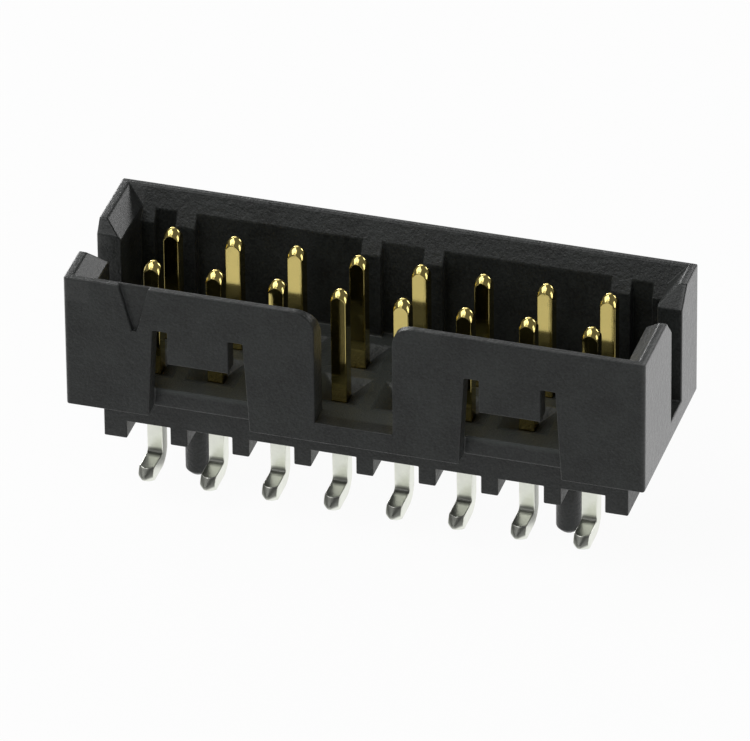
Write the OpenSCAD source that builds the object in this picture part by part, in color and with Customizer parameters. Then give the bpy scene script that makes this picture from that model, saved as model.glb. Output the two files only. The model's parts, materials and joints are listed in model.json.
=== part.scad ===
// Shrouded surface-mount pin header, two rows, 2.00 mm pitch, upright.
// Frame: X along the rows, Y across them, +Z up. The keyed front wall faces -Y.
// Origin: the middle of the footprint, on the board face that the solder feet stand on.

/* [Contact grid] */
// Contacts in each row
columns = 8; // [6:1:20]
// Distance between neighbouring contacts of a row
pitch = 2.00; // [1.90:0.05:2.60]
// Distance between the two rows
row_gap = 2.00; // [1.90:0.05:2.60]

/* [Contacts] */
// Side of the square contact wire
wire = 0.50; // [0.40:0.02:0.56]
// Length of the taper at the top of a pin
pin_taper = 0.40; // [0.20:0.05:0.60]
// Length of the taper at the end of a solder foot
foot_taper = 0.28; // [0.10:0.02:0.40]
// Diameter of the flat that is left on a tapered end
tip_flat = 0.24; // [0.10:0.02:0.36]
// Inner radius of the bend above the solder foot
bend_r = 0.10; // [0.06:0.01:0.30]
// Reach of the solder foot, from the contact's axis to its tip
foot_reach = 1.45; // [1.10:0.05:1.80]
// Depth of the contact tips below the rim of the shroud
tip_depth = 0.25; // [0.10:0.05:1.00]
// Play between a contact and the hole that it is pressed into, on each side
wire_play = 0.01; // [0.005:0.005:0.03]

/* [Heights, from the board up] */
// Air under the cross ribs
standoff = 1.30; // [0.90:0.05:2.00]
// Height of the cross ribs under the plinth
rib_h = 0.62; // [0.30:0.02:0.90]
// Height of the plinth under the overhanging deck
plinth_h = 1.08; // [0.70:0.02:1.60]
// Thickness of the deck that carries the contacts
deck_h = 0.70; // [0.50:0.05:1.20]
// Depth of the shroud, from its rim to the deck
shroud_depth = 3.90; // [3.20:0.10:6.00]

/* [Shroud] */
// From the last contact's axis to the outer face of the end wall
end_margin = 2.25; // [2.10:0.05:3.00]
// From a row's axis to the outer face of the long wall
side_margin = 2.05; // [1.85:0.05:2.60]
// Thickness of the long walls at their inner pads
side_wall = 0.83; // [0.70:0.01:0.95]
// Thickness of the end walls
end_wall = 0.80; // [0.60:0.05:1.00]
// Width of the flat rim on top of the walls
rim = 0.25; // [0.15:0.01:0.40]
// Height of the lead-in slope inside the long walls
side_lead_h = 1.00; // [0.50:0.05:1.40]
// Height of the lead-in slope inside the end walls
end_lead_h = 0.55; // [0.30:0.05:0.90]
// Depth of the relief between the inner pads of the long walls
relief = 0.24; // [0.10:0.01:0.28]
// Width of an inner pad
pad_w = 0.66; // [0.40:0.02:0.90]
// Width of the solid corners, measured inward from the end walls
corner_w = 0.45; // [0.20:0.05:0.60]

/* [Keying slot] */
// Width of the keying slot in the front wall
key_w = 2.48; // [1.60:0.02:3.00]
// Radius that rounds the two top edges of the keying slot
key_r = 0.65; // [0.30:0.05:0.90]
// Width of the full-thickness cheek on each side of the keying slot
cheek_w = 0.60; // [0.40:0.05:0.70]

/* [End slots] */
// Width of the slot in each end wall
end_slot_w = 1.20; // [0.80:0.05:1.60]
// Place of the left end's slot across the part
left_slot_y = -0.30; // [-0.80:0.05:0.80]
// Place of the right end's slot across the part
right_slot_y = 0.60; // [-0.80:0.05:0.80]
// How far each slot flares to a side at the rim
flare_w = 0.55; // [0.20:0.05:0.70]
// Height of that flare
flare_h = 0.62; // [0.30:0.02:0.90]
// How far the left slot flares towards the back, where it is smaller
small_flare_w = 0.30; // [0.10:0.05:0.60]
// Height of that smaller flare
small_flare_h = 0.45; // [0.20:0.05:0.90]

/* [Latch windows] */
// From the outer end face to the middle of a latch window
window_inset = 4.28; // [3.90:0.02:4.80]
// Width of a latch window at its top edge
window_w = 2.88; // [2.60:0.02:3.10]
// Width of a latch window where it opens under the deck
window_foot_w = 3.26; // [3.10:0.02:3.50]
// Depth of the window's top edge below the rim
window_drop = 1.46; // [1.10:0.02:1.80]
// Width of the tab that hangs in the window
tab_w = 1.96; // [1.20:0.02:2.10]
// Length of that tab
tab_h = 1.14; // [0.80:0.02:1.50]

/* [Plinth] */
// From the last contact's axis to the end of the plinth
plinth_end = 1.42; // [1.20:0.02:1.60]
// From a row's axis to the front or back of the plinth
plinth_side = 0.93; // [0.70:0.01:1.10]
// Width of a cross rib between two contacts
rib_w = 0.55; // [0.35:0.05:0.80]
// Width of the cross rib at each end
end_rib_w = 0.74; // [0.40:0.02:0.90]

/* [Locating pegs] */
// Diameter of a locating peg
peg_d = 0.80; // [0.60:0.05:1.00]
// Reach of a peg below the board face
peg_reach = 0.82; // [0.50:0.02:1.40]
// Chamfer at the tip of a peg
peg_chamfer = 0.18; // [0.05:0.01:0.25]
// Flare at the root of a peg, under its pad
peg_root = 0.12; // [0.08:0.01:0.20]

/* [Funnels and first-contact mark] */
// Width of the square funnel round each contact, at the deck
funnel_w = 1.60; // [1.00:0.05:1.80]
// Depth of that funnel
funnel_h = 0.30; // [0.10:0.05:0.45]
// Width of the arrow-shaped recess that marks the first contact
mark_w = 0.95; // [0.60:0.05:1.20]
// Width of the blunt end of the mark
mark_tip_w = 0.14; // [0.08:0.02:0.30]
// Height of the mark
mark_h = 1.58; // [1.00:0.02:2.00]
// Depth of the mark
mark_depth = 0.15; // [0.05:0.01:0.20]

/* [Hidden] */
$fn = 48;
ROWS = 2;
FRONT = -1;
BACK = 1;
// Overrun of a cutting tool past the face that it opens
over = 0.5;

rib_z = standoff;
plinth_z = rib_z + rib_h;
deck_z = plinth_z + plinth_h;
floor_z = deck_z + deck_h;
rim_z = floor_z + shroud_depth;
tip_z = rim_z - tip_depth;

half_l = (columns - 1) * pitch / 2 + end_margin;
half_w = row_gap / 2 + side_margin;
plinth_x = (columns - 1) * pitch / 2 + plinth_end;
plinth_y = row_gap / 2 + plinth_side;
cavity_x = half_l - end_wall;
cavity_y = half_w - side_wall;
key_x = key_w / 2;
window_x = half_l - window_inset;
window_z = rim_z - window_drop;
hole = wire + 2 * wire_play;

function column_x(i) = (i - (columns - 1) / 2) * pitch;
function row_y(row) = (row == 0 ? FRONT : BACK) * row_gap / 2;
function contact_name(row, i) = str("contact_", row == 0 ? "front_" : "back_", i + 1);

// A box on the XY centre line, from one height to another
module block(half_x, half_y, z0, z1) {
  translate([-half_x, -half_y, z0])
    cube([2 * half_x, 2 * half_y, z1 - z0]);
}

// Extrudes a YZ outline along X, from x0 to x1
module along_x(x0, x1) {
  translate([x0, 0, 0])
    rotate([90, 0, 90])
      linear_extrude(height = x1 - x0)
        children();
}

// Extrudes an XZ outline along Y, from y0 to y1
module along_y(y0, y1) {
  translate([0, y1, 0])
    rotate([90, 0, 0])
      linear_extrude(height = y1 - y0)
        children();
}

// A level-topped outline that widens with height: half widths w0 at z0 and w1 at z1
module flared_outline(w0, w1, z0, z1) {
  polygon([[-w0, z0], [w0, z0], [w1, z1], [-w1, z1]]);
}

// A four-sided tapered space: half sizes [x, y] at the bottom and at the top
module tapered_space(low, high, z0, z1) {
  intersection() {
    along_x(-high.x, high.x) flared_outline(low.y, high.y, z0, z1);
    along_y(-high.y, high.y) flared_outline(low.x, high.x, z0, z1);
  }
}

// The mating cavity with its lead-in slopes
module cavity() {
  block(cavity_x, cavity_y, floor_z, rim_z + over);
  intersection() {
    along_x(-half_l + rim, half_l - rim)
      flared_outline(cavity_y, half_w - rim, rim_z - side_lead_h, rim_z);
    along_y(-half_w + rim, half_w - rim)
      union() {
        flared_outline(cavity_x, half_l - rim, rim_z - end_lead_h, rim_z);
        translate([-cavity_x, rim_z - side_lead_h])
          square([2 * cavity_x, side_lead_h]);
      }
  }
}

// Relief in the inside of one long wall, between the pads that guide the plug
module wall_relief(side) {
  relief_x = cavity_x - corner_w;
  mirror([0, side == BACK ? 0 : 1, 0])
    difference() {
      translate([-relief_x, cavity_y - over, floor_z])
        cube([2 * relief_x, over + relief, shroud_depth]);
      for (sign = [-1, 1]) {
        inner_pad(sign * column_x(columns - 1));
        if (side == BACK)
          inner_pad(sign * pitch / 2);
      }
      if (side == FRONT)
        translate([-key_x - cheek_w, 0, floor_z])
          cube([key_w + 2 * cheek_w, half_w, shroud_depth]);
    }
}

// The full-thickness strip of a long wall that a relief leaves standing
module inner_pad(x) {
  translate([x - pad_w / 2, 0, floor_z])
    cube([pad_w, half_w, shroud_depth]);
}

// The slot in the front wall that only lets the plug in one way round
module keying_slot() {
  along_y(-half_w - over, -cavity_y + over) {
    translate([-key_x, floor_z])
      square([key_w, shroud_depth + over]);
    difference() {
      translate([-key_x - key_r, rim_z - key_r])
        square([key_w + 2 * key_r, key_r + over]);
      for (sign = [-1, 1])
        translate([sign * (key_x + key_r), rim_z - key_r])
          circle(r = key_r);
    }
  }
}

// A flared slot through one end wall; back_flare is the width and height of its flare to the back
module end_slot(side, y, back_flare) {
  half_slot = end_slot_w / 2;
  x0 = side < 0 ? -half_l - over : cavity_x - over;
  translate([0, y, 0])
    along_x(x0, x0 + end_wall + 2 * over) {
      flared_outline(half_slot, half_slot, floor_z, rim_z + over);
      polygon([
        [-half_slot, rim_z - flare_h],
        [half_slot, rim_z - back_flare.y],
        [half_slot + back_flare.x, rim_z],
        [-half_slot - flare_w, rim_z]
      ]);
    }
}

// Half width of a latch window at one height
function window_half(z) =
  (window_foot_w + (window_w - window_foot_w) * (z - deck_z) / (window_z - deck_z)) / 2;

// Outline of a latch window above one height, round the tab that hangs in it
module window_outline(z0) {
  difference() {
    polygon([
      [-window_half(z0), z0],
      [window_half(z0), z0],
      [window_w / 2, window_z],
      [-window_w / 2, window_z]
    ]);
    translate([-tab_w / 2, window_z - tab_h])
      square([tab_w, tab_h + over]);
  }
}

// A latch window: open to the cavity above the deck, and cut into the deck as deep as the wall
module latch_window(x) {
  translate([x, 0, 0]) {
    along_y(-half_w - over, -cavity_y)
      window_outline(floor_z);
    along_y(-half_w - over, -cavity_y - relief)
      window_outline(deck_z - over);
  }
}

// The hole of one contact, with the funnel that leads into it
module contact_hole(row, i) {
  translate([column_x(i), row_y(row), 0]) {
    block(hole / 2, hole / 2, rib_z, floor_z);
    tapered_space([hole, hole] / 2, [funnel_w, funnel_w] / 2, floor_z - funnel_h, floor_z);
  }
}

// The recess in the front face that points at the first contact
module first_contact_mark() {
  translate([column_x(0), 0, 0])
    along_y(-half_w - over, -half_w + mark_depth)
      polygon([
        [-mark_tip_w / 2, rim_z - mark_h],
        [mark_tip_w / 2, rim_z - mark_h],
        [mark_w / 2, rim_z],
        [mark_w / 2, rim_z + over],
        [-mark_w / 2, rim_z + over],
        [-mark_w / 2, rim_z]
      ]);
}

// Cross ribs that keep the plinth off the solder, one between each two columns
module cross_ribs() {
  for (i = [1:columns - 1])
    translate([column_x(i) - pitch / 2, 0, 0])
      block(rib_w / 2, plinth_y, rib_z, plinth_z);
  for (sign = [-1, 1])
    translate([sign * (plinth_x - end_rib_w / 2), 0, 0])
      block(end_rib_w / 2, plinth_y, rib_z, plinth_z);
}

// A peg for a hole in the board, on a square pad in the outermost rib between two columns
module locating_peg(sign) {
  peg_r = peg_d / 2;
  root_r = peg_r + peg_root;
  translate([sign * (column_x(columns - 1) - pitch / 2), 0, 0]) {
    rotate_extrude()
      polygon([
        [0, -peg_reach],
        [peg_r - peg_chamfer, -peg_reach],
        [peg_r, -peg_reach + peg_chamfer],
        [peg_r, rib_z - peg_root],
        [root_r, rib_z],
        [0, rib_z]
      ]);
    block(root_r, root_r, rib_z, plinth_z);
  }
}

// The moulded housing: shroud, deck, plinth, cross ribs and pegs in one piece
module housing() {
  color("#2d2f30")
    difference() {
      union() {
        block(half_l, half_w, deck_z, rim_z);
        block(plinth_x, plinth_y, plinth_z, deck_z);
        cross_ribs();
        for (sign = [-1, 1])
          locating_peg(sign);
      }
      cavity();
      for (side = [FRONT, BACK])
        wall_relief(side);
      keying_slot();
      end_slot(-1, left_slot_y, [small_flare_w, small_flare_h]);
      end_slot(1, right_slot_y, [flare_w, flare_h]);
      for (sign = [-1, 1])
        latch_window(sign * window_x);
      for (row = [0:ROWS - 1], i = [0:columns - 1])
        contact_hole(row, i);
      first_contact_mark();
    }
}

// Square wire along +Z whose far end is turned down to a blunt point
module tapered_wire(length, taper) {
  block(wire / 2, wire / 2, 0, length - taper);
  intersection() {
    block(wire / 2, wire / 2, length - taper, length);
    translate([0, 0, length - taper])
      cylinder(h = taper, d1 = wire * sqrt(2), d2 = tip_flat);
  }
}

// One contact: upright pin, bend and solder foot, the foot pointing outward
module contact(row, i) {
  bend_y = wire / 2 + bend_r;
  bend_z = wire + bend_r;
  color("goldenrod")
    translate([column_x(i), row_y(row), 0])
      mirror([0, row, 0]) {
        translate([0, 0, bend_z])
          tapered_wire(tip_z - bend_z, pin_taper);
        translate([0, -bend_y, bend_z])
          rotate([0, 90, 0])
            rotate_extrude(angle = 90)
              translate([bend_r, -wire / 2])
                square(wire);
        translate([0, -bend_y, wire / 2])
          rotate([90, 0, 0])
            tapered_wire(foot_reach - bend_y, foot_taper);
      }
}

housing();
for (row = [0:ROWS - 1], i = [0:columns - 1])
  contact(row, i);
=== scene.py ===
"""A shrouded surface-mount pin header: the finish of its housing and contacts, on a white studio stage."""
import json
import math

import bmesh
import bpy
from mathutils import Matrix, Vector

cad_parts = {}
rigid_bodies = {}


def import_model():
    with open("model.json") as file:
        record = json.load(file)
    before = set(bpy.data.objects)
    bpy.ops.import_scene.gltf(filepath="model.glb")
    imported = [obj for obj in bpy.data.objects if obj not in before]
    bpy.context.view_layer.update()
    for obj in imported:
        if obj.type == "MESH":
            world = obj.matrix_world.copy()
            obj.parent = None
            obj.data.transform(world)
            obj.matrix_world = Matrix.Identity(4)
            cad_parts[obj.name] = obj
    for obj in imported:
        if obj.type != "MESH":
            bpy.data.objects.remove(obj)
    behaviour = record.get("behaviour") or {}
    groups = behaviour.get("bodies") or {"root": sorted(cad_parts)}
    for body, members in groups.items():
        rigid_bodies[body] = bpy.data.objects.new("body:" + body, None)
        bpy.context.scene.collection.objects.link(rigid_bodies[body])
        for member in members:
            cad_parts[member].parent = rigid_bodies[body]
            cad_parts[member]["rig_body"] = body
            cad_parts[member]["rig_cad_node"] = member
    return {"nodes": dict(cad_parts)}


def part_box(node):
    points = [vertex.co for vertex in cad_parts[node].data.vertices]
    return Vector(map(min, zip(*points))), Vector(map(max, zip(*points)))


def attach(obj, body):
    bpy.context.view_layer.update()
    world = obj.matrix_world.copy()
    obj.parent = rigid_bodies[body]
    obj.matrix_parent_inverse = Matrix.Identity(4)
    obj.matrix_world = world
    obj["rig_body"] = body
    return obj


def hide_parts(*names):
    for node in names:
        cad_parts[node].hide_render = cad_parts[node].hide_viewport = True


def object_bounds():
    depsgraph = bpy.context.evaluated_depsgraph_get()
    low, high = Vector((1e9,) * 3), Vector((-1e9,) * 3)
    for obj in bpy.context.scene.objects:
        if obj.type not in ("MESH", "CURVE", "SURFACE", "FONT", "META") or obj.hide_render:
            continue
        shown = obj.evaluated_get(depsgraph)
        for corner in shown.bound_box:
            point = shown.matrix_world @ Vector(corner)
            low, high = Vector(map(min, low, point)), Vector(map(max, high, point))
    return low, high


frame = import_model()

bl_info = {
    "name": "Pin Header",
    "version": (1, 0, 0),
    "blender": (4, 5, 0),
    "location": "View3D > Sidebar > Pin Header",
    "description": "Builds a shrouded pin header and the stage that it is pictured on",
    "category": "Object",
}

MM = 0.001
BODY = "root"

# Places that come from the frame, in metres
CAD_LOW, CAD_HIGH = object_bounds()
COLUMNS = sum(name.startswith("contact_front_") for name in frame["nodes"])
CONTACT_LOW, CONTACT_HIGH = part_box("contact_front_1")
LAST_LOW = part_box(f"contact_front_{COLUMNS}")[0]
WIRE = CONTACT_HIGH.x - CONTACT_LOW.x
PITCH = (LAST_LOW.x - CONTACT_LOW.x) / (COLUMNS - 1)
FIRST_X = (CONTACT_LOW.x + CONTACT_HIGH.x) / 2
ROW_Y = CONTACT_HIGH.y - WIRE / 2
TIP_Z = CONTACT_HIGH.z
FOOT_REACH = ROW_Y - CONTACT_LOW.y

# Heights of the deck's lower edge and of its top in the CAD part
SILL_Z = 3.00 * MM
DECK_Z = 3.70 * MM

# Distances under which places count as the same, and vertices are merged
NEAR = 0.001 * MM
MERGE = 0.0002 * MM

# A power of two, so that a mesh comes back to its size without rounding
WEIGHING_SCALE = 1024

# Marks in a finish, as shares of the colour that they lie on; some are painted light and shade
DARK_PATCH = 0.45
PALE_PATCH = 1.55
GLASS_FLECK = 2.4
# Painted light: the top of the deck is made paler, as if lit from above
PAINTED_DECK_LIGHT = 2.6
WORN_GOLD = 0.90
DULL_TIN = 0.76
# Painted shade in the hollow of the bend
SHADED_BEND_TIN = 0.32
# Partly bare metal, partly painted shade on the upper side of the foot's point
CUT_AND_SHADED_TIN = 0.26

# Softboxes that face the part: place and side in metres, and radiance
SOFTBOXES = {
    "key_softbox": ((-0.25, -0.09, 0.34), 0.40, 1.7),
    "top_softbox": ((-0.04, -0.23, 0.36), 0.20, 1.3),
    "back_softbox": ((-0.08, 0.34, 0.19), 0.17, 1.0),
    "left_softbox": ((-0.22, 0.33, 0.09), 0.10, 8.6),
    "front_softbox": ((-0.10, -0.32, 0.22), 0.20, 0.52),
    "right_softbox": ((0.32, -0.06, 0.10), 0.12, 1.5),
    "low_softbox": ((0.22, 0.33, 0.10), 0.10, 3.6),
}


class HousingSettings(bpy.types.PropertyGroup):
    """Sizes and colours of the moulded housing."""
    edge_radius: bpy.props.FloatProperty(
        name="Edge Radius", description="Rounding of the moulded edges",
        default=0.045 * MM, unit="LENGTH", precision=6)
    corner_radius: bpy.props.FloatProperty(
        name="Corner Radius", description="Rounding of the four upright outer corners",
        default=0.09 * MM, unit="LENGTH", precision=6)
    sill_radius: bpy.props.FloatProperty(
        name="Sill Radius", description="Rounding of the lower edge of the deck in the latch windows",
        default=0.10 * MM, unit="LENGTH", precision=6)
    edge_angle: bpy.props.FloatProperty(
        name="Edge Angle", description="Faces that meet at more than this angle are rounded",
        default=math.radians(20), subtype="ANGLE")
    smooth_angle: bpy.props.FloatProperty(
        name="Smooth Angle", description="Faces that meet at less than this angle are shaded as one",
        default=math.radians(35), subtype="ANGLE")
    colour: bpy.props.FloatVectorProperty(
        name="Plastic", description="Colour of the black plastic",
        default=(0.0160, 0.0182, 0.0172), size=3, min=0, max=1, subtype="COLOR")
    roughness: bpy.props.FloatProperty(
        name="Roughness", description="Roughness of the moulded surface",
        default=0.40, min=0, max=1, subtype="FACTOR")
    gloss: bpy.props.FloatProperty(
        name="Gloss", description="Specular level of the moulded surface",
        default=0.38, min=0, max=1, subtype="FACTOR")
    skin: bpy.props.FloatProperty(
        name="Skin", description="Weight of the smoother skin on the two end faces",
        default=0.55, min=0, max=1, subtype="FACTOR")
    lead_skin: bpy.props.FloatProperty(
        name="Lead Skin", description="Weight of the smoother skin on the lead-in at the left end",
        default=0.28, min=0, max=1, subtype="FACTOR")
    skin_roughness: bpy.props.FloatProperty(
        name="Skin Roughness", description="Roughness of that smoother skin",
        default=0.18, min=0, max=1, subtype="FACTOR")
    bloom: bpy.props.FloatProperty(
        name="Bloom", description="Weight of the dusty look at a glancing angle",
        default=0.06, min=0, max=1, subtype="FACTOR")
    grain: bpy.props.FloatProperty(
        name="Grain", description="Size of the fine grain that the mould leaves",
        default=0.08 * MM, unit="LENGTH", precision=6)
    grain_depth: bpy.props.FloatProperty(
        name="Grain Depth", description="Depth of that grain",
        default=0.016 * MM, unit="LENGTH", precision=6)
    pit: bpy.props.FloatProperty(
        name="Pit", description="Size of the shallow pits in the surface",
        default=0.20 * MM, unit="LENGTH", precision=6)
    fleck: bpy.props.FloatProperty(
        name="Fleck", description="Size of the pale flecks of glass",
        default=MM / 7, unit="LENGTH", precision=6)
    cloud: bpy.props.FloatProperty(
        name="Cloud", description="Size of the cloudy patches",
        default=MM / 0.9, unit="LENGTH", precision=6)


class ContactSettings(bpy.types.PropertyGroup):
    """Sizes and colours of the plated contacts."""
    edge_radius: bpy.props.FloatProperty(
        name="Edge Radius", description="Rounding along the corners of the wire",
        default=0.035 * MM, unit="LENGTH", precision=6)
    bend_radius: bpy.props.FloatProperty(
        name="Bend Radius", description="Inner radius of the bend above the solder foot",
        default=0.10 * MM, unit="LENGTH", precision=6)
    pin_taper: bpy.props.FloatProperty(
        name="Pin Taper", description="Length of the domed point at the top of the pin",
        default=0.40 * MM, unit="LENGTH", precision=6)
    foot_taper: bpy.props.FloatProperty(
        name="Foot Taper", description="Length of the cone at the end of the foot",
        default=0.40 * MM, unit="LENGTH", precision=6)
    pin_flat: bpy.props.FloatProperty(
        name="Pin Flat", description="Diameter of the flat left on top of the pin",
        default=0.08 * MM, unit="LENGTH", precision=6)
    foot_flat: bpy.props.FloatProperty(
        name="Foot Flat", description="Diameter of the flat left on the end of the foot",
        default=0.14 * MM, unit="LENGTH", precision=6)
    rim_radius: bpy.props.FloatProperty(
        name="Rim Radius", description="Rounding where a turned point runs out on the sides of the wire",
        default=0.012 * MM, unit="LENGTH", precision=6)
    rim_angle: bpy.props.FloatProperty(
        name="Rim Angle", description="Faces that meet at more than this angle get that rounding",
        default=math.radians(25), subtype="ANGLE")
    smooth_angle: bpy.props.FloatProperty(
        name="Smooth Angle", description="Faces that meet at less than this angle are shaded as one",
        default=math.radians(40), subtype="ANGLE")
    tin_top: bpy.props.FloatProperty(
        name="Tin Top", description="Height above the board at which tin gives way to gold",
        default=2.0 * MM, unit="LENGTH", precision=6)
    gold: bpy.props.FloatVectorProperty(
        name="Gold", description="Colour of the gold on the pins",
        default=(0.82, 0.67, 0.235), size=3, min=0, max=1, subtype="COLOR")
    tin: bpy.props.FloatVectorProperty(
        name="Tin", description="Colour of the tin on the solder feet",
        default=(0.91, 0.93, 0.84), size=3, min=0, max=1, subtype="COLOR")
    shine: bpy.props.FloatProperty(
        name="Shine", description="Roughness of the gold between its drawn lines",
        default=0.045, min=0, max=1, subtype="FACTOR")
    haze: bpy.props.FloatProperty(
        name="Haze", description="How much rougher the tin is than the gold",
        default=0.17, min=0, max=1, subtype="FACTOR")
    patch: bpy.props.FloatProperty(
        name="Patch", description="Size of the patches in the plating",
        default=0.3125 * MM, unit="LENGTH", precision=6)
    line_depth: bpy.props.FloatProperty(
        name="Line Depth", description="Depth of the drawn lines",
        default=0.0015 * MM, unit="LENGTH", precision=6)


class StageSettings(bpy.types.PropertyGroup):
    """The camera, the floor and the light of the picture."""
    camera_place: bpy.props.FloatVectorProperty(
        name="Camera", description="Place of the camera",
        default=(82.141 * MM, -270.341 * MM, 184.990 * MM), size=3, subtype="TRANSLATION", precision=6)
    azimuth: bpy.props.FloatProperty(
        name="Azimuth", description="Turn of the camera to the right of the front",
        default=math.radians(16.943), subtype="ANGLE")
    elevation: bpy.props.FloatProperty(
        name="Elevation", description="Height of the camera above the horizon",
        default=math.radians(32.649), subtype="ANGLE")
    roll: bpy.props.FloatProperty(
        name="Roll", description="Turn of the camera about its own line of sight",
        default=math.radians(-0.593), subtype="ANGLE")
    lens: bpy.props.FloatProperty(
        name="Lens", description="Focal length on a 36 mm sensor",
        default=522.70, unit="CAMERA")
    floor_gap: bpy.props.FloatProperty(
        name="Floor Gap", description="Air between the lowest point of the part and the floor",
        default=0.01 * MM, unit="LENGTH", precision=6)
    floor_side: bpy.props.FloatProperty(
        name="Floor Side", description="Side of the square floor",
        default=1.6, unit="LENGTH")
    floor_colour: bpy.props.FloatVectorProperty(
        name="Floor", description="Colour of the floor",
        default=(0.90, 0.90, 0.90), size=3, min=0, max=1, subtype="COLOR")
    shadow: bpy.props.FloatProperty(
        name="Shadow", description="How much of the floor's own light and shade the camera sees",
        default=0.05, min=0, max=1, subtype="FACTOR")
    # Painted shadow: the floor in front of the part is dimmed in reflections
    front_shade_glow: bpy.props.FloatProperty(
        name="Front Glow", description="How white the floor in front of the part looks in reflections",
        default=0.12, min=0, max=1, subtype="FACTOR")
    sky_glow: bpy.props.FloatProperty(
        name="Sky Glow", description="How white the sky looks in reflections",
        default=0.18, min=0, max=1, subtype="FACTOR")
    sky: bpy.props.FloatProperty(
        name="Sky", description="Strength of the even light from all round",
        default=0.14, min=0)


class Level:
    """One output of a node; arithmetic on outputs that are numbers adds Math nodes."""

    def __init__(self, finish, socket):
        self.finish = finish
        self.socket = socket

    def _math(self, operation, first, second):
        return self.finish.node("ShaderNodeMath", {"operation": operation}, {0: first, 1: second})

    def __add__(self, other):
        return self._math("ADD", self, other)

    def __radd__(self, other):
        return self._math("ADD", other, self)

    def __sub__(self, other):
        return self._math("SUBTRACT", self, other)

    def __rsub__(self, other):
        return self._math("SUBTRACT", other, self)

    def __mul__(self, other):
        return self._math("MULTIPLY", self, other)

    def __rmul__(self, other):
        return self._math("MULTIPLY", other, self)

    def __abs__(self):
        return self._math("ABSOLUTE", self, 0.0)

    def larger(self, other):
        """The larger of two levels."""
        return self._math("MAXIMUM", self, other)

    def to_and_fro(self, length):
        """A level that climbs to a length and comes back to 0, over and over."""
        return self._math("PINGPONG", self, length)


class Finish:
    """A node tree that is written one node at a time."""

    # Sockets of the Mix node that carry colours
    MIX_FIRST = 6
    MIX_LAST = 7
    MIX_RESULT = 2

    def __init__(self, tree, output="ShaderNodeOutputMaterial"):
        self.tree = tree
        self.output = output
        tree.nodes.clear()

    def node(self, kind, settings=None, sockets=None, output=0):
        """Adds a node, sets it up, feeds its sockets and returns one of its outputs, if it has any."""
        made = self.tree.nodes.new(kind)
        for key, value in (settings or {}).items():
            setattr(made, key, value)
        for key, value in (sockets or {}).items():
            if isinstance(value, Level):
                self.tree.links.new(value.socket, made.inputs[key])
            else:
                made.inputs[key].default_value = value
        return Level(self, made.outputs[output]) if made.outputs else None

    def place(self):
        """Object coordinates, in metres."""
        return self.node("ShaderNodeTexCoord", output="Object")

    def split(self, vector):
        """The X, Y and Z of a vector."""
        made = self.node("ShaderNodeSeparateXYZ", None, {0: vector})
        outputs = made.socket.node.outputs
        return [Level(self, outputs[axis]) for axis in "XYZ"]

    def stretched(self, vector, scale):
        """A vector with each axis multiplied."""
        return self.node("ShaderNodeVectorMath", {"operation": "MULTIPLY"}, {0: vector, 1: scale})

    def rays(self, *kinds):
        """For each kind of ray, 1 where the surface is met by one of that kind."""
        outputs = self.node("ShaderNodeLightPath").socket.node.outputs
        return [Level(self, outputs[f"Is {kind} Ray"]) for kind in kinds]

    def noise(self, vector, size, detail=2.0, roughness=0.6):
        """Soft noise from 0 to 1, with spots of about one size."""
        return self.node("ShaderNodeTexNoise", {"noise_dimensions": "3D"}, {
            "Vector": vector, "Scale": 1 / size, "Detail": detail, "Roughness": roughness})

    def ramp(self, level, low, high, first=0.0, last=1.0):
        """Takes a level from one range to another, and holds it at the ends."""
        return self.node("ShaderNodeMapRange", {"clamp": True}, {
            "Value": level, "From Min": low, "From Max": high, "To Min": first, "To Max": last})

    def blend(self, level, first, last):
        """A colour between two colours."""
        sockets = {0: level, self.MIX_FIRST: first, self.MIX_LAST: last}
        return self.node("ShaderNodeMix", {"data_type": "RGBA"}, sockets, output=self.MIX_RESULT)

    def bump(self, height, distance, strength=1.0):
        """A normal that follows a height."""
        return self.node("ShaderNodeBump", None, {
            "Strength": strength, "Distance": distance, "Height": height})

    def surface(self, shader):
        """Makes a shader the one that shows."""
        self.node(self.output, None, {"Surface": shader})


def new_finish(name):
    """A new material and its empty node tree."""
    material = bpy.data.materials.new(name)
    material.use_nodes = True
    return material, Finish(material.node_tree)


def shade(colour, share=1.0):
    """A share of a colour, with full alpha."""
    return (*(share * part for part in colour), 1.0)


def on_deck(finish, x, y, z):
    """1 on the top of the deck inside the shroud, where light is painted in, 0 elsewhere."""
    under = (DECK_Z - 0.20 * MM, DECK_Z - 0.05 * MM)
    over = (DECK_Z + 0.10 * MM, DECK_Z + 0.04 * MM)
    side = (2.60 * MM, 2.50 * MM)
    end = (8.70 * MM, 8.60 * MM)
    level = finish.ramp(z, *under) * finish.ramp(z, *over)
    return level * finish.ramp(abs(y), *side) * finish.ramp(abs(x), *end)


def on_ends(finish, x):
    """1 on the outer faces of the two ends, 0 elsewhere."""
    depth = (CAD_HIGH.x - 0.15 * MM, CAD_HIGH.x - 0.05 * MM)
    return finish.ramp(abs(x), *depth)


def on_left_lead(finish, x, z):
    """1 on the lead-in slope at the left end, 0 elsewhere."""
    inner = (0.85 * MM - CAD_HIGH.x, 0.79 * MM - CAD_HIGH.x)
    foot = (CAD_HIGH.z - 0.85 * MM, CAD_HIGH.z - 0.75 * MM)
    rim = (CAD_HIGH.z - 0.02 * MM, CAD_HIGH.z - 0.05 * MM)
    return finish.ramp(x, *inner) * finish.ramp(z, *foot) * finish.ramp(z, *rim)


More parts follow.
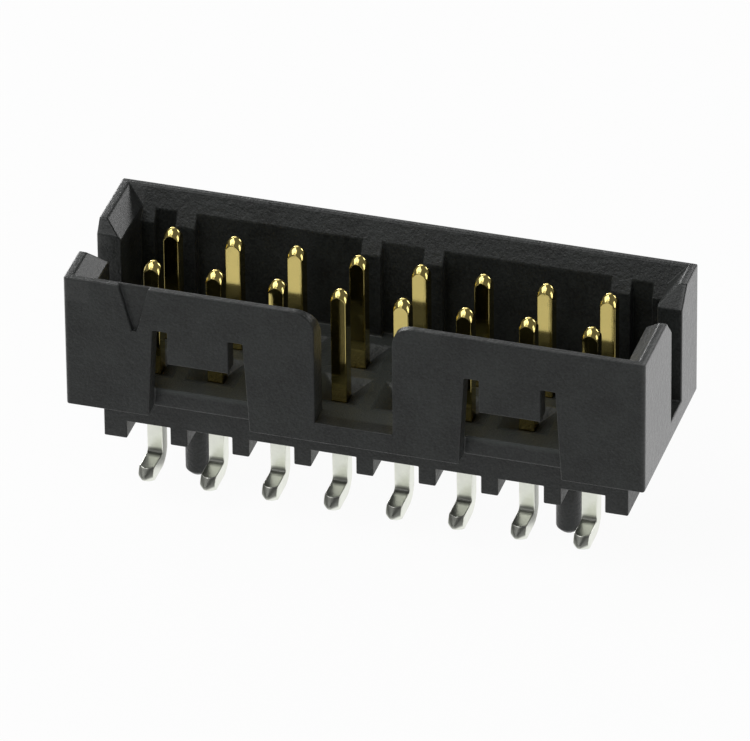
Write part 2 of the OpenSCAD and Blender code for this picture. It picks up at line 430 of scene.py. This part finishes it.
def black_plastic(settings):
    """Glass-filled black moulding: a satin grain with cloudy patches and pale flecks, and painted light that
    makes the top of the deck paler.
    """
    cloud_share = 0.4
    mottled = (0.38, 0.62)
    flecked = (0.58, 0.78)
    fleck_weight = 0.35
    grain_haze = 0.30
    cloud_haze = 0.10
    pit_height = 1.5
    material, finish = new_finish("black_plastic")
    place = finish.place()
    x, y, z = finish.split(place)
    grain = finish.noise(place, settings.grain, detail=3.0)
    pits = finish.noise(place, settings.pit, detail=3.0)
    cloud = finish.noise(place, settings.cloud, detail=3.0, roughness=0.55)
    tone = finish.ramp(cloud * cloud_share + grain * (1 - cloud_share), *mottled)
    flecks = finish.ramp(finish.noise(place, settings.fleck), *flecked) * fleck_weight
    base = finish.blend(tone, shade(settings.colour, DARK_PATCH), shade(settings.colour, PALE_PATCH))
    base = finish.blend(flecks, base, shade(settings.colour, GLASS_FLECK))
    # Painted light: the top of the deck inside the shroud is made paler where light from above falls on it
    base = finish.blend(on_deck(finish, x, y, z), base, shade(settings.colour, PAINTED_DECK_LIGHT))
    end_skin = on_ends(finish, x) * settings.skin
    lead_skin = on_left_lead(finish, x, z) * settings.lead_skin
    finish.surface(finish.node("ShaderNodeBsdfPrincipled", None, {
        "Base Color": base,
        "Roughness": settings.roughness + (grain - 0.5) * grain_haze + (cloud - 0.5) * cloud_haze,
        "IOR": 1.5,
        "Specular IOR Level": settings.gloss,
        "Coat Weight": end_skin + lead_skin,
        "Coat Roughness": settings.skin_roughness,
        "Coat IOR": 1.5,
        "Sheen Weight": settings.bloom,
        "Sheen Roughness": 0.5,
        "Normal": finish.bump(grain + pits * pit_height, settings.grain_depth),
    }))
    return material


def drawn_lines(finish, place, z):
    """Fine lines that run up the pin and out along the foot."""
    across = 45
    along = 1.2
    turn = (0.75 * MM, 0.65 * MM)
    up = finish.noise(finish.stretched(place, (across, across, along)), MM)
    out = finish.noise(finish.stretched(place, (across, along, across)), MM)
    return up + (out - up) * finish.ramp(z, *turn)


def on_shaded_cut_point(finish, aside, y, z, taper):
    """1 on the upper side of the turned point of a foot, where the tin was trimmed away and shade is painted
    in, 0 elsewhere.
    """
    start = -CONTACT_LOW.y - taper
    inside = (WIRE / 2 - 0.012 * MM, WIRE / 2 - 0.022 * MM)
    above = (0.16 * MM, 0.26 * MM)
    beyond = (start - 0.01 * MM, start + 0.02 * MM)
    out = aside.larger(abs(z - WIRE / 2))
    return finish.ramp(out, *inside) * finish.ramp(z, *above) * finish.ramp(abs(y), *beyond)


def in_bend(finish, aside, y, z):
    """1 in the hollow of the bend, where shade is painted into the tin, 0 elsewhere."""
    face = WIRE - CONTACT_HIGH.y
    below = (0.70 * MM, 0.58 * MM)
    above = (0.30 * MM, 0.45 * MM)
    before = (face - 0.06 * MM, face - 0.01 * MM)
    beyond = (face + 0.32 * MM, face + 0.12 * MM)
    inside = (WIRE / 2, WIRE / 2 - 0.03 * MM)
    level = finish.ramp(z, *below) * finish.ramp(z, *above) * finish.ramp(aside, *inside)
    return level * finish.ramp(abs(y), *before) * finish.ramp(abs(y), *beyond)


def plated_wire(settings):
    """Drawn wire, gold on the pin and tin on the foot, with fine lines along its length, and painted shade
    in the bend and on the foot's point.
    """
    fade = 0.10 * MM
    waver = 0.15 * MM
    patch_haze = 0.14
    point_and_bend_haze = 0.20
    line_haze = 0.04
    line_strength = 0.5
    material, finish = new_finish("plated_wire")
    place = finish.place()
    x, y, z = finish.split(place)
    aside = (x - FIRST_X).to_and_fro(PITCH / 2)
    lines = drawn_lines(finish, place, z)
    patches = finish.noise(place, settings.patch, detail=3.0)
    # Painted shade, partly bare metal: the upper side of the foot's point
    cut_and_shade = on_shaded_cut_point(finish, aside, y, z, settings.foot_taper)
    # Painted shade: the mask of the bend's hollow, where shade falls
    drawn = in_bend(finish, aside, y, z)
    edge = z + (patches - 0.5) * waver
    gilt = finish.ramp(edge, settings.tin_top - fade, settings.tin_top + fade)
    gold = finish.blend(patches, shade(settings.gold, WORN_GOLD), shade(settings.gold))
    tin = finish.blend(patches, shade(settings.tin, DULL_TIN), shade(settings.tin))
    # Painted shade: the tin is darkened in the hollow of the bend
    tin = finish.blend(drawn, tin, shade(settings.tin, SHADED_BEND_TIN))
    # Painted shade on bare metal: the upper side of the foot's point is darkened
    tin = finish.blend(cut_and_shade, tin, shade(settings.tin, CUT_AND_SHADED_TIN))
    haze = settings.haze + patches * patch_haze + (cut_and_shade + drawn) * point_and_bend_haze
    finish.surface(finish.node("ShaderNodeBsdfPrincipled", None, {
        "Base Color": finish.blend(gilt, tin, gold),
        "Metallic": 1.0,
        "Roughness": settings.shine + lines * line_haze + (1 - gilt) * haze,
        "Normal": finish.bump(lines, settings.line_depth, line_strength),
    }))
    return material


def white_floor(settings):
    """Paper that the camera sees as white with a faint shadow, and mirrors see with a painted shadow in
    front.
    """
    material, finish = new_finish("white_paper")
    camera, glossy, clear = finish.rays("Camera", "Glossy", "Transmission")
    front = (-8.5 * MM, -3.5 * MM)
    _, y, _ = finish.split(finish.place())
    # Painted shadow: in reflections the floor dims from white behind the part to this level in front of it
    shaded_glow = finish.ramp(y, *front, settings.front_shade_glow, 1.0)
    share = camera * (1 - settings.shadow) + (glossy + clear) * shaded_glow
    paper = finish.node("ShaderNodeBsdfDiffuse", None, {"Color": shade(settings.floor_colour)})
    white = finish.node("ShaderNodeEmission", None, {"Strength": 1.0})
    finish.surface(finish.node("ShaderNodeMixShader", None, {0: share, 1: paper, 2: white}))
    return material


def white_sky(settings):
    """Even light from all round, which the camera sees as white and mirrors see dimmed."""
    world = bpy.data.worlds.new("white_sky")
    world.use_nodes = True
    finish = Finish(world.node_tree, "ShaderNodeOutputWorld")
    camera, glossy, clear = finish.rays("Camera", "Glossy", "Transmission")
    soft = finish.node("ShaderNodeBackground", None, {"Strength": settings.sky})
    dim = finish.node("ShaderNodeBackground", None, {"Strength": settings.sky_glow})
    white = finish.node("ShaderNodeBackground", None, {"Strength": 1.0})
    unseen = finish.node("ShaderNodeMixShader", None, {0: glossy, 1: soft, 2: dim})
    finish.surface(finish.node("ShaderNodeMixShader", None, {0: camera + clear, 1: unseen, 2: white}))
    bpy.context.scene.world = world


def start_clean():
    """Leaves edit mode and deselects everything."""
    if bpy.context.object and bpy.context.object.mode != "OBJECT":
        bpy.ops.object.mode_set(mode="OBJECT")
    bpy.ops.object.select_all(action="DESELECT")


def take_up(piece):
    """Makes a piece the only one that is selected and active."""
    start_clean()
    piece.select_set(True)
    bpy.context.view_layer.objects.active = piece


def pick(kind, test):
    """Selects the vertices, edges or faces in edit mode that pass a test."""
    bpy.ops.mesh.select_mode(type=kind)
    bpy.ops.mesh.select_all(action="DESELECT")
    mesh = bpy.context.edit_object.data
    shape = bmesh.from_edit_mesh(mesh)
    group = {"VERT": shape.verts, "EDGE": shape.edges, "FACE": shape.faces}[kind]
    for element in group:
        element.select_set(test(element))
    shape.select_flush_mode()
    bmesh.update_edit_mesh(mesh)


def modify(piece, kind, **settings):
    """Adds a modifier to a piece and applies it."""
    take_up(piece)
    modifier = piece.modifiers.new(kind.title(), kind)
    for key, value in settings.items():
        setattr(modifier, key, value)
    bpy.ops.object.modifier_apply(modifier=modifier.name)


def resize(piece, scale):
    """Makes the mesh of a piece larger or smaller."""
    take_up(piece)
    piece.scale = (scale, scale, scale)
    bpy.ops.object.transform_apply(location=True, rotation=True, scale=True)


def smooth(piece, angle):
    """Smooth shading over edges flatter than an angle, with flat faces kept flat.

    The faces are weighed at a large size, because the modifier takes very small ones as equal.
    """
    take_up(piece)
    bpy.ops.object.shade_smooth_by_angle(angle=angle)
    resize(piece, WEIGHING_SCALE)
    modify(piece, "WEIGHTED_NORMAL", keep_sharp=True, weight=80)
    resize(piece, 1 / WEIGHING_SCALE)


def dress(piece, material, slot, *nodes):
    """Gives a piece its material and its body, and hides the CAD nodes that it stands for."""
    piece.data.materials.clear()
    piece.data.materials.append(material)
    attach(piece, BODY)
    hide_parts(*nodes)


class PINHEADER_OT_housing(bpy.types.Operator):
    """Rounds the edges of the moulded housing and gives it its plastic"""
    bl_idname = "pinheader.housing"
    bl_label = "Housing"

    def execute(self, context):
        settings = context.scene.header_housing
        node = frame["nodes"]["housing"]
        take_up(node)
        bpy.ops.object.duplicate()
        piece = context.object
        piece.name = "moulded_housing"
        # The copy is no CAD node
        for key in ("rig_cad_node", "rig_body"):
            del piece[key]
        bpy.ops.mesh.customdata_custom_splitnormals_clear()
        bpy.ops.object.mode_set(mode="EDIT")
        bpy.ops.mesh.select_all(action="SELECT")
        bpy.ops.mesh.remove_doubles(threshold=MERGE)
        bpy.ops.mesh.dissolve_limited(angle_limit=math.radians(1.0))
        self.weigh(lambda edge: edge.calc_face_angle(0.0) > settings.edge_angle,
                   settings.edge_radius / settings.sill_radius)
        self.weigh(self.is_corner, (settings.corner_radius - settings.edge_radius) / settings.sill_radius)
        self.weigh(self.is_sill, 1.0)
        bpy.ops.object.mode_set(mode="OBJECT")
        modify(piece, "BEVEL", width=settings.sill_radius, segments=3, limit_method="WEIGHT",
               use_clamp_overlap=False, miter_outer="MITER_SHARP")
        smooth(piece, settings.smooth_angle)
        dress(piece, black_plastic(settings), "housing", "housing")
        return {"FINISHED"}

    @staticmethod
    def weigh(test, weight):
        """Adds to the bevel weight of the edges that pass a test."""
        pick("EDGE", test)
        bpy.ops.transform.edge_bevelweight(value=weight)

    @staticmethod
    def is_sill(edge):
        """Tells whether an edge is the lower front edge of the deck in a latch window."""
        front_most = 0.95 * CAD_LOW.y
        rear_most = 0.78 * CAD_LOW.y
        first, last = (vertex.co for vertex in edge.verts)
        at_height = abs(first.z - SILL_Z) < NEAR and abs(last.z - SILL_Z) < NEAR
        along_row = abs(first.y - last.y) < NEAR
        return at_height and along_row and front_most < first.y < rear_most and edge.is_convex

    @staticmethod
    def is_corner(edge):
        """Tells whether an edge is one of the four upright outer corners."""
        return all(CAD_HIGH.x - abs(vertex.co.x) < NEAR and CAD_HIGH.y - abs(vertex.co.y) < NEAR
                   for vertex in edge.verts)


class PINHEADER_OT_contacts(bpy.types.Operator):
    """Forms one contact from square wire, turns its points and copies it along both rows"""
    bl_idname = "pinheader.contacts"
    bl_label = "Contacts"

    def execute(self, context):
        settings = context.scene.header_contacts
        material = plated_wire(settings)
        pattern = self.bent_wire(settings)
        self.turn_point(pattern, self.dome(settings), Vector((0, 0, TIP_Z)), 0.0)
        self.turn_point(pattern, self.cone(settings), Vector((0, -FOOT_REACH, WIRE / 2)), math.pi / 2)
        modify(pattern, "BEVEL", width=settings.rim_radius, segments=2, limit_method="ANGLE",
               angle_limit=settings.rim_angle, use_clamp_overlap=False)
        smooth(pattern, settings.smooth_angle)
        for row, row_y, turn in (("front", ROW_Y, 0.0), ("back", -ROW_Y, math.pi)):
            for column in range(COLUMNS):
                contact = f"contact_{row}_{column + 1}"
                piece = self.copy(pattern, (FIRST_X + column * PITCH, row_y, 0), turn)
                piece.name = f"plated_{contact}"
                dress(piece, material, "contact", contact)
        take_up(pattern)
        bpy.ops.object.delete()
        return {"FINISHED"}

    @staticmethod
    def bent_wire(settings):
        """Square wire with rounded corners: pin, bend and foot, the foot pointing to the front."""
        bend_y = WIRE / 2 + settings.bend_radius
        bend_z = WIRE + settings.bend_radius
        start_clean()
        bpy.ops.mesh.primitive_plane_add(size=WIRE, location=(0, 0, bend_z))
        piece = bpy.context.object
        bpy.ops.object.transform_apply(location=True, rotation=True, scale=True)
        bpy.ops.object.mode_set(mode="EDIT")
        bpy.ops.mesh.select_all(action="SELECT")
        bpy.ops.mesh.bevel(offset=settings.edge_radius, segments=4, affect="VERTICES", clamp_overlap=True)
        bpy.ops.mesh.select_all(action="SELECT")
        bpy.ops.mesh.extrude_region_move(TRANSFORM_OT_translate={"value": (0, 0, TIP_Z - bend_z)})
        pick("FACE", lambda face: max(vertex.co.z for vertex in face.verts) < bend_z + NEAR)
        bpy.ops.mesh.delete(type="ONLY_FACE")
        pick("EDGE", lambda edge: max(vertex.co.z for vertex in edge.verts) < bend_z + NEAR)
        bpy.ops.mesh.spin(steps=12, angle=math.pi / 2, center=(0, -bend_y, bend_z), axis=(1, 0, 0))
        bpy.ops.mesh.extrude_region_move(
            TRANSFORM_OT_translate={"value": (0, bend_y - FOOT_REACH, 0)})
        bpy.ops.mesh.edge_face_add()
        bpy.ops.mesh.select_all(action="SELECT")
        bpy.ops.mesh.remove_doubles(threshold=MERGE)
        bpy.ops.mesh.normals_make_consistent(inside=False)
        bpy.ops.object.mode_set(mode="OBJECT")
        return piece

    @staticmethod
    def dome(settings):
        """The shape of a pin's point, from the end of a long ellipsoid, with its tip at the origin."""
        corner_r = WIRE / math.sqrt(2)
        girth = 2 * corner_r
        length = settings.pin_taper / (1 - math.sqrt(1 - (corner_r / girth) ** 2))
        lift = length * (1 - math.sqrt(1 - (settings.pin_flat / 2 / girth) ** 2))
        kept = 0.7 * length
        start_clean()
        bpy.ops.mesh.primitive_uv_sphere_add(
            segments=48, ring_count=72, radius=1.0, scale=(girth, girth, length))
        cutter = bpy.context.object
        bpy.ops.object.transform_apply(location=True, rotation=True, scale=True)
        bpy.ops.object.mode_set(mode="EDIT")
        pick("VERT", lambda vertex: vertex.co.z < kept)
        bpy.ops.mesh.delete(type="VERT")
        bpy.ops.object.mode_set(mode="OBJECT")
        cutter.location = (0, 0, lift - length)
        bpy.ops.object.transform_apply(location=True, rotation=True, scale=True)
        return cutter

    @staticmethod
    def cone(settings):
        """The shape of a foot's point, with its tip at the origin."""
        past = 0.2
        taper = settings.foot_taper
        base_r = WIRE / math.sqrt(2)
        flat_r = settings.foot_flat / 2
        start_clean()
        bpy.ops.mesh.primitive_cone_add(
            vertices=64, radius1=base_r, radius2=flat_r - past * (base_r - flat_r), depth=taper * (1 + past),
            end_fill_type="NOTHING", location=(0, 0, taper * (past - 1) / 2))
        cutter = bpy.context.object
        bpy.ops.object.transform_apply(location=True, rotation=True, scale=True)
        return cutter

    @staticmethod
    def turn_point(piece, cutter, tip, turn):
        """Cuts one end of the wire to the hollow of a shape, as a pencil is sharpened."""
        take_up(cutter)
        cutter.rotation_euler = (turn, 0, 0)
        cutter.location = tip
        bpy.ops.object.transform_apply(location=True, rotation=True, scale=True)
        modify(cutter, "SOLIDIFY", thickness=WIRE, offset=1.0, use_even_offset=True)
        modify(piece, "BOOLEAN", operation="DIFFERENCE", object=cutter, solver="EXACT")
        take_up(cutter)
        bpy.ops.object.delete()

    @staticmethod
    def copy(pattern, place, turn):
        """A copy of the contact with its own mesh, turned and set in its place."""
        take_up(pattern)
        bpy.ops.object.duplicate()
        piece = bpy.context.object
        piece.rotation_euler = (0, 0, turn)
        piece.location = place
        bpy.ops.object.transform_apply(location=True, rotation=True, scale=True)
        return piece


class PINHEADER_OT_stage(bpy.types.Operator):
    """Sets the camera, the white floor, the sky and the softboxes"""
    bl_idname = "pinheader.stage"
    bl_label = "Stage"

    def execute(self, context):
        settings = context.scene.header_stage
        context.scene.view_settings.view_transform = "Standard"
        self.camera(settings)
        self.floor(settings)
        white_sky(settings)
        for name, (place, side, radiance) in SOFTBOXES.items():
            self.softbox(name, place, side, radiance)
        return {"FINISHED"}

    def camera(self, settings):
        """A long lens at the measured place, turned to the measured direction."""
        start_clean()
        bpy.ops.object.camera_add(location=settings.camera_place)
        camera = bpy.context.object
        camera.name = "camera"
        camera.rotation_mode = "QUATERNION"
        camera.rotation_quaternion = self.aim(settings)
        camera.data.sensor_fit = "HORIZONTAL"
        camera.data.sensor_width = 36.0
        camera.data.lens = settings.lens
        camera.data.clip_start = 0.01
        camera.data.clip_end = 10.0
        bpy.context.scene.camera = camera

    @staticmethod
    def aim(settings):
        """The camera's turn, from its azimuth, elevation and roll."""
        azimuth, elevation, roll = settings.azimuth, settings.elevation, settings.roll
        back = Vector((math.sin(azimuth) * math.cos(elevation),
                       -math.cos(azimuth) * math.cos(elevation), math.sin(elevation)))
        level = Vector((math.cos(azimuth), math.sin(azimuth), 0))
        rise = back.cross(level)
        right = level * math.cos(roll) + rise * math.sin(roll)
        up = rise * math.cos(roll) - level * math.sin(roll)
        return Matrix((right, up, back)).transposed().to_quaternion()

    @staticmethod
    def floor(settings):
        """A wide sheet of paper just under the pegs."""
        start_clean()
        bpy.ops.mesh.primitive_plane_add(
            size=settings.floor_side, location=(0, 0, CAD_LOW.z - settings.floor_gap))
        floor = bpy.context.object
        floor.name = "paper_floor"
        floor.data.materials.append(white_floor(settings))

    @staticmethod
    def softbox(name, place, side, radiance):
        """A square light that faces the part, with its power worked out from its radiance."""
        start_clean()
        bpy.ops.object.light_add(type="AREA", location=place)
        lamp = bpy.context.object
        lamp.name = name
        lamp.rotation_mode = "QUATERNION"
        lamp.rotation_quaternion = (-Vector(place)).to_track_quat("-Z", "Y")
        lamp.data.size = side
        lamp.data.energy = 4 * radiance * side * side
        lamp.visible_camera = False


class PINHEADER_PT_sidebar(bpy.types.Panel):
    """Lists the steps that build the header"""
    bl_idname = "PINHEADER_PT_sidebar"
    bl_label = "Pin Header"
    bl_space_type = "VIEW_3D"
    bl_region_type = "UI"
    bl_category = "Pin Header"

    def draw(self, context):
        for step, group in STEPS:
            self.layout.operator(step.bl_idname)
            settings = getattr(context.scene, group)
            for name in settings.bl_rna.properties.keys():
                if name not in ("rna_type", "name"):
                    self.layout.prop(settings, name)


GROUPS = {
    "header_housing": HousingSettings,
    "header_contacts": ContactSettings,
    "header_stage": StageSettings,
}
STEPS = (
    (PINHEADER_OT_stage, "header_stage"),
    (PINHEADER_OT_housing, "header_housing"),
    (PINHEADER_OT_contacts, "header_contacts"),
)
CLASSES = (*GROUPS.values(), *(step for step, _ in STEPS), PINHEADER_PT_sidebar)


def register():
    for cls in CLASSES:
        bpy.utils.register_class(cls)
    for name, group in GROUPS.items():
        setattr(bpy.types.Scene, name, bpy.props.PointerProperty(type=group))


def unregister():
    for name in GROUPS:
        delattr(bpy.types.Scene, name)
    for cls in reversed(CLASSES):
        bpy.utils.unregister_class(cls)


def main():
    register()
    bpy.ops.pinheader.stage()
    bpy.ops.pinheader.housing()
    bpy.ops.pinheader.contacts()


if __name__ == "__main__":
    main()
